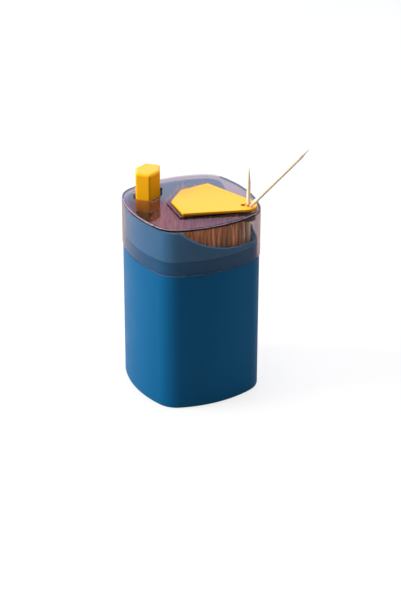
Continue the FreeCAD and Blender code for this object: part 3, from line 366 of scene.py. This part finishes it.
# The loose stock of picks in the bay, in staggered rows
PICK_LENGTH = 65 * MM
PICK_RADIUS = 1.0 * MM
PICK_TIP = 0.2 * MM
PICK_TAPER = 9 * MM
PICK_SIDES = 6
PITCH = 2.3 * MM
ROW_PITCH = PITCH * 0.866
COLUMNS = range(-20, 21)
STOCK_BACK = -15.6 * MM
STOCK_FRONT = 33 * MM
WALL_MARGIN = 1.3 * MM
WELL_MARGIN = 0.8 * MM
GUIDE_MARGIN = 0.3 * MM
MOST_TILT = 0.004


def floor_at(x):
    return FLOOR_HEIGHT + (OUTLET_X - x) * math.tan(FLOOR_SLOPE)


def inside_bay(x, y):
    """True where a pick stands clear of the bay's walls."""
    q = CORNER_CENTRE / math.sqrt(2)
    inner = HALF_WIDTH - CORNER_ROUND
    away = (2 * q * q - inner * inner) / (2 * (inner - q))
    side = away + HALF_WIDTH - BAY_INSET - WALL_MARGIN
    corner = CORNER_ROUND - BAY_INSET - WALL_MARGIN
    offset = away / math.sqrt(2)
    ax, ay = abs(x), abs(y)
    if math.hypot(ax + offset, ay + offset) > side:
        return False
    big, small = max(ax, ay), min(ax, ay)
    if big > CORNER_CENTRE and small < (big - CORNER_CENTRE) * 4:
        return math.hypot(big - CORNER_CENTRE, small) < corner
    return True


def around(node, margin):
    """A node's middle, and how far from it a pick's axis stays."""
    low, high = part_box(node)
    return (low + high) / 2, (high.x - low.x) / 2 + margin + PICK_RADIUS


def add_pick(mesh, foot, lean, length):
    """One tapered pick with its foot at a point and its axis along lean."""
    turn = Vector((0, 0, 1)).rotation_difference(lean).to_matrix()
    rings = []
    for height, radius in ((0, PICK_TIP), (PICK_TAPER, PICK_RADIUS), (length - PICK_TAPER, PICK_RADIUS),
                           (length, PICK_TIP)):
        ring = []
        for i in range(PICK_SIDES):
            angle = 2 * math.pi * i / PICK_SIDES
            spot = Vector((radius * math.cos(angle), radius * math.sin(angle), height))
            ring.append(mesh.verts.new(foot + turn @ spot))
        rings.append(ring)
    for low, high in zip(rings[:-1], rings[1:]):
        for i in range(PICK_SIDES):
            j = (i + 1) % PICK_SIDES
            mesh.faces.new((low[i], low[j], high[j], high[i]))
    mesh.faces.new(list(reversed(rings[0])))
    mesh.faces.new(rings[-1])


def make_stock():
    """The bay full of standing picks, clear of the plunger's well and of the outlet's guide."""
    draw = random.Random(7)
    kept_clear = (around("lifter", WELL_MARGIN), around("outlet_guide", GUIDE_MARGIN))
    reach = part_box("hopper")[1].x
    mesh = bmesh.new()
    for row in range(int(2 * reach / ROW_PITCH) + 1):
        x = -reach + row * ROW_PITCH
        if not STOCK_BACK < x < STOCK_FRONT:
            continue
        for column in COLUMNS:
            y = (column + 0.5 * (row % 2)) * PITCH
            if not inside_bay(x, y):
                continue
            if any(math.hypot(x - spot.x, y - spot.y) < radius for spot, radius in kept_clear):
                continue
            foot = Vector((x, y, floor_at(x) + draw.uniform(0.05, 0.25) * MM))
            tilt = draw.uniform(0, MOST_TILT)
            turn = draw.uniform(0, 2 * math.pi)
            lean = Vector((tilt * math.cos(turn), tilt * math.sin(turn), 1)).normalized()
            add_pick(mesh, foot, lean, PICK_LENGTH - draw.uniform(0.2, 1.6) * MM)
    data = bpy.data.meshes.new("full_stock")
    mesh.to_mesh(data)
    mesh.free()
    # the darker wood with painted shade
    data.materials.append(STOCK_WOOD_PAINTED_SHADE)
    stock = new_piece("full_stock", data)
    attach(stock, "housing")
    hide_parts("pick_stock")


# The floor's own grey, its white to the camera, how much of that white glows, and its share in gloss
FLOOR_SIZE = 6
FLOOR_GREY = (0.35, 0.35, 0.35)
FLOOR_WHITE = (0.93, 0.93, 0.93)
FLOOR_GLOW = 0.75
FLOOR_IN_GLOSS = 0.15

# The strength of the world as a light, beside 1 where it is seen
WORLD_LIGHT = 0.2


def make_floor():
    """White to the camera and through glass, paler in gloss, with the object's shadow kept."""
    bpy.ops.mesh.primitive_plane_add(size=FLOOR_SIZE, location=(0, 0, 0))
    floor = bpy.context.object
    floor.name = "floor"
    shader = new_shader("floor_paper")
    rays = shader.add("LightPath").outputs
    seen = shader.math("MAXIMUM", rays["Is Camera Ray"], rays["Is Transmission Ray"])
    gloss = shader.math("MULTIPLY", rays["Is Glossy Ray"], FLOOR_IN_GLOSS)
    white = shader.math("MAXIMUM", seen, gloss)
    paper = shader.add("BsdfDiffuse")
    shader.link(shader.blend(white, FLOOR_GREY, FLOOR_WHITE), paper.inputs["Color"])
    glow = shader.add("Emission", Strength=1.0)
    surface = shader.mix(shader.math("MULTIPLY", white, FLOOR_GLOW), paper.outputs["BSDF"],
                         glow.outputs["Emission"])
    floor.data.materials.append(shader.finish(surface))


def make_world():
    """White to the camera, to gloss and through glass; a soft grey light otherwise."""
    shader = Shader(bpy.data.worlds.new("studio"), "OutputWorld")
    rays = shader.add("LightPath").outputs
    seen = shader.math("MAXIMUM", rays["Is Camera Ray"], rays["Is Transmission Ray"])
    white = shader.math("MAXIMUM", seen, rays["Is Glossy Ray"])
    skies = [shader.add("Background", Strength=strength).outputs["Background"]
             for strength in (WORLD_LIGHT, 1.0)]
    bpy.context.scene.world = shader.finish(shader.mix(white, *skies))


def add_softbox(name, place, aim, size, watts, colour=(1, 1, 1)):
    data = bpy.data.lights.new(name, "AREA")
    data.shape = "RECTANGLE"
    data.size, data.size_y = size
    data.energy = watts
    data.color = colour
    lamp = new_piece(name, data)
    lamp.location = place
    lamp.rotation_euler = (Vector(place) - Vector(aim)).to_track_quat("Z", "Y").to_euler()


def make_lights():
    """A broad box at the left, a soft top light, a low rim light and two pale cards for the roof's gloss."""
    middle = Vector((0, 0, 0.06))
    right = Vector((math.cos(VIEW_TURN), math.sin(VIEW_TURN), 0))
    away = Vector((-math.sin(VIEW_TURN), math.cos(VIEW_TURN), 0))
    up = Vector((0, 0, 1))
    add_softbox("key", middle - right * 0.92 - away * 0.1 + up * 0.34, middle, (0.5, 0.7), 14)
    add_softbox("top", middle + up * 1.0 + away * 0.1, middle, (0.8, 0.8), 9.5)
    add_softbox("rim", middle + right * 0.9 + away * 0.2 + up * 0.2, middle, (0.3, 0.7), 2)
    card = right * -0.1 + away * 0.75 + up * 0.29
    add_softbox("card", card, card - away, (0.6, 0.3), 1.9, (0.46, 0.66, 1.0))
    high_card = card + up * 0.25
    add_softbox("high_card", high_card, high_card - away, (0.6, 0.2), 0.5, (1.0, 0.45, 1.0))


make_camera()
make_world()
make_lights()
make_floor()
dress_cad_nodes()
refit_collar()
round_button()
make_spring()
make_stock()

bpy.context.scene.view_settings.view_transform = "Standard"
